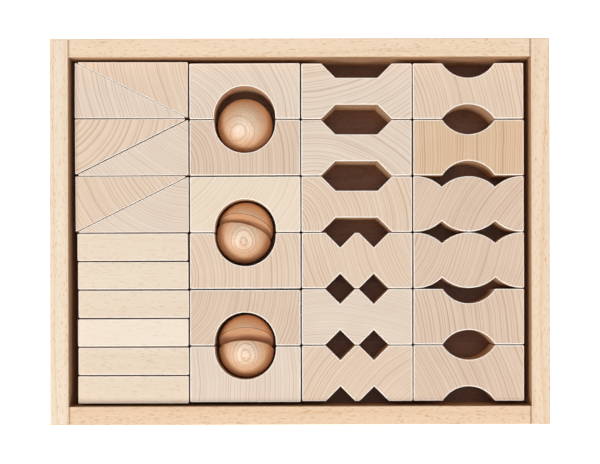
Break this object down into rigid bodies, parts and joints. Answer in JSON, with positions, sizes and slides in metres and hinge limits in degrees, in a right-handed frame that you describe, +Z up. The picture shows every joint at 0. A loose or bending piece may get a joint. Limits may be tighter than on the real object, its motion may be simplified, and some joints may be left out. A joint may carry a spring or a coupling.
{
  "type": "marble run block set",
  "caption": "Wooden marble-run building blocks with tunnels, channels, grooves and waves, plus wedges, planks and turned balls, packed flat in an open beech tray.",
  "frame": {"origin": "middle of the tray's underside, where it rests", "axes": "+X along the tray, +Y towards the rail beside the single whole ball, +Z up out of the tray"},
  "size_m": [0.3544, 0.274, 0.055],
  "materials": {
    "beech_tray": "planed and lightly sanded, unvarnished",
    "plywood_floor": "thin raw plywood",
    "beech_dowel": "raw, hidden in the corners",
    "sanded_block": "sawn and sanded, end grain up, raw",
    "planed_plank": "planed long grain, raw",
    "turned_ball": "turned and sanded smooth, raw"
  },
  "bodies": {
    "tray": {"tray_side_left": "beech_tray", "tray_side_right": "beech_tray", "tray_rail_front": "beech_tray", "tray_rail_back": "beech_tray", "tray_floor": "plywood_floor", "corner_dowels": "beech_dowel"},
    "curve_block_1": {"curve_block_1": "sanded_block"},
    "curve_block_2": {"curve_block_2": "sanded_block"},
    "curve_block_3": {"curve_block_3": "sanded_block"},
    "curve_block_4": {"curve_block_4": "sanded_block"},
    "half_ball_1_back": {"half_ball_1_back": "turned_ball"},
    "half_ball_1_front": {"half_ball_1_front": "turned_ball"},
    "half_ball_2_back": {"half_ball_2_back": "turned_ball"},
    "half_ball_2_front": {"half_ball_2_front": "turned_ball"},
    "plank_1": {"plank_1": "planed_plank"},
    "plank_2": {"plank_2": "planed_plank"},
    "plank_3": {"plank_3": "planed_plank"},
    "plank_4": {"plank_4": "planed_plank"},
    "plank_5": {"plank_5": "planed_plank"},
    "plank_6": {"plank_6": "planed_plank"},
    "track_block_1": {"track_block_1": "sanded_block"},
    "track_block_2": {"track_block_2": "sanded_block"},
    "track_block_3": {"track_block_3": "sanded_block"},
    "tunnel_block_1": {"tunnel_block_1": "sanded_block"},
    "tunnel_block_2": {"tunnel_block_2": "sanded_block"},
    "tunnel_block_3": {"tunnel_block_3": "sanded_block"},
    "tunnel_block_4": {"tunnel_block_4": "sanded_block"},
    "tunnel_block_5": {"tunnel_block_5": "sanded_block"},
    "tunnel_block_6": {"tunnel_block_6": "sanded_block"},
    "vee_block_1": {"vee_block_1": "sanded_block"},
    "vee_block_2": {"vee_block_2": "sanded_block"},
    "vee_block_3": {"vee_block_3": "sanded_block"},
    "wave_block_1": {"wave_block_1": "sanded_block"},
    "wave_block_2": {"wave_block_2": "sanded_block"},
    "wedge_1_back": {"wedge_1_back": "sanded_block"},
    "wedge_1_front": {"wedge_1_front": "sanded_block"},
    "wedge_2_back": {"wedge_2_back": "sanded_block"},
    "wedge_2_front": {"wedge_2_front": "sanded_block"},
    "wedge_3_back": {"wedge_3_back": "sanded_block"},
    "wedge_3_front": {"wedge_3_front": "sanded_block"},
    "whole_ball": {"whole_ball": "turned_ball"}
  },
  "joints": [
    {"name": "lift_whole_ball", "type": "slide", "parent": "tray", "child": "whole_ball", "axis": [0, 0, 1], "range_m": [0, 0.06]},
    {"name": "lift_half_ball_1_back", "type": "slide", "parent": "tray", "child": "half_ball_1_back", "axis": [0, 0, 1], "range_m": [0, 0.06]},
    {"name": "lift_half_ball_1_front", "type": "slide", "parent": "half_ball_1_back", "child": "half_ball_1_front", "axis": [0, 0, 1], "range_m": [0, 0.06]},
    {"name": "lift_half_ball_2_back", "type": "slide", "parent": "tray", "child": "half_ball_2_back", "axis": [0, 0, 1], "range_m": [0, 0.06]},
    {"name": "lift_half_ball_2_front", "type": "slide", "parent": "half_ball_2_back", "child": "half_ball_2_front", "axis": [0, 0, 1], "range_m": [0, 0.06]},
    {"name": "lift_tunnel_block_1", "type": "slide", "parent": "tray", "child": "tunnel_block_1", "axis": [0, 0, 1], "range_m": [0, 0.06]},
    {"name": "lift_tunnel_block_2", "type": "slide", "parent": "tray", "child": "tunnel_block_2", "axis": [0, 0, 1], "range_m": [0, 0.06]},
    {"name": "lift_track_block_1", "type": "slide", "parent": "tray", "child": "track_block_1", "axis": [0, 0, 1], "range_m": [0, 0.06]},
    {"name": "lift_vee_block_1", "type": "slide", "parent": "tray", "child": "vee_block_1", "axis": [0, 0, 1], "range_m": [0, 0.06]},
    {"name": "lift_curve_block_1", "type": "slide", "parent": "tray", "child": "curve_block_1", "axis": [0, 0, 1], "range_m": [0, 0.06]},
    {"name": "lift_wave_block_1", "type": "slide", "parent": "tray", "child": "wave_block_1", "axis": [0, 0, 1], "range_m": [0, 0.06]},
    {"name": "lift_wedge_1_front", "type": "slide", "parent": "tray", "child": "wedge_1_front", "axis": [0, 0, 1], "range_m": [0, 0.06]},
    {"name": "lift_wedge_1_back", "type": "slide", "parent": "tray", "child": "wedge_1_back", "axis": [0, 0, 1], "range_m": [0, 0.06]},
    {"name": "lift_plank_1", "type": "slide", "parent": "tray", "child": "plank_1", "axis": [0, 0, 1], "range_m": [0, 0.06]},
    {"name": "lift_curve_block_2", "type": "slide", "parent": "tray", "child": "curve_block_2", "axis": [0, 0, 1], "range_m": [0, 0.06]},
    {"name": "lift_curve_block_3", "type": "slide", "parent": "tray", "child": "curve_block_3", "axis": [0, 0, 1], "range_m": [0, 0.06]},
    {"name": "lift_curve_block_4", "type": "slide", "parent": "tray", "child": "curve_block_4", "axis": [0, 0, 1], "range_m": [0, 0.06]},
    {"name": "lift_plank_2", "type": "slide", "parent": "tray", "child": "plank_2", "axis": [0, 0, 1], "range_m": [0, 0.06]},
    {"name": "lift_plank_3", "type": "slide", "parent": "tray", "child": "plank_3", "axis": [0, 0, 1], "range_m": [0, 0.06]},
    {"name": "lift_plank_4", "type": "slide", "parent": "tray", "child": "plank_4", "axis": [0, 0, 1], "range_m": [0, 0.06]},
    {"name": "lift_plank_5", "type": "slide", "parent": "tray", "child": "plank_5", "axis": [0, 0, 1], "range_m": [0, 0.06]},
    {"name": "lift_plank_6", "type": "slide", "parent": "tray", "child": "plank_6", "axis": [0, 0, 1], "range_m": [0, 0.06]},
    {"name": "lift_track_block_2", "type": "slide", "parent": "tray", "child": "track_block_2", "axis": [0, 0, 1], "range_m": [0, 0.06]},
    {"name": "lift_track_block_3", "type": "slide", "parent": "tray", "child": "track_block_3", "axis": [0, 0, 1], "range_m": [0, 0.06]},
    {"name": "lift_tunnel_block_3", "type": "slide", "parent": "tray", "child": "tunnel_block_3", "axis": [0, 0, 1], "range_m": [0, 0.06]},
    {"name": "lift_tunnel_block_4", "type": "slide", "parent": "tray", "child": "tunnel_block_4", "axis": [0, 0, 1], "range_m": [0, 0.06]},
    {"name": "lift_tunnel_block_5", "type": "slide", "parent": "tray", "child": "tunnel_block_5", "axis": [0, 0, 1], "range_m": [0, 0.06]},
    {"name": "lift_tunnel_block_6", "type": "slide", "parent": "tray", "child": "tunnel_block_6", "axis": [0, 0, 1], "range_m": [0, 0.06]},
    {"name": "lift_vee_block_2", "type": "slide", "parent": "tray", "child": "vee_block_2", "axis": [0, 0, 1], "range_m": [0, 0.06]},
    {"name": "lift_vee_block_3", "type": "slide", "parent": "tray", "child": "vee_block_3", "axis": [0, 0, 1], "range_m": [0, 0.06]},
    {"name": "lift_wave_block_2", "type": "slide", "parent": "tray", "child": "wave_block_2", "axis": [0, 0, 1], "range_m": [0, 0.06]},
    {"name": "lift_wedge_2_back", "type": "slide", "parent": "tray", "child": "wedge_2_back", "axis": [0, 0, 1], "range_m": [0, 0.06]},
    {"name": "lift_wedge_2_front", "type": "slide", "parent": "tray", "child": "wedge_2_front", "axis": [0, 0, 1], "range_m": [0, 0.06]},
    {"name": "lift_wedge_3_back", "type": "slide", "parent": "tray", "child": "wedge_3_back", "axis": [0, 0, 1], "range_m": [0, 0.06]},
    {"name": "lift_wedge_3_front", "type": "slide", "parent": "tray", "child": "wedge_3_front", "axis": [0, 0, 1], "range_m": [0, 0.06]}
  ]
}
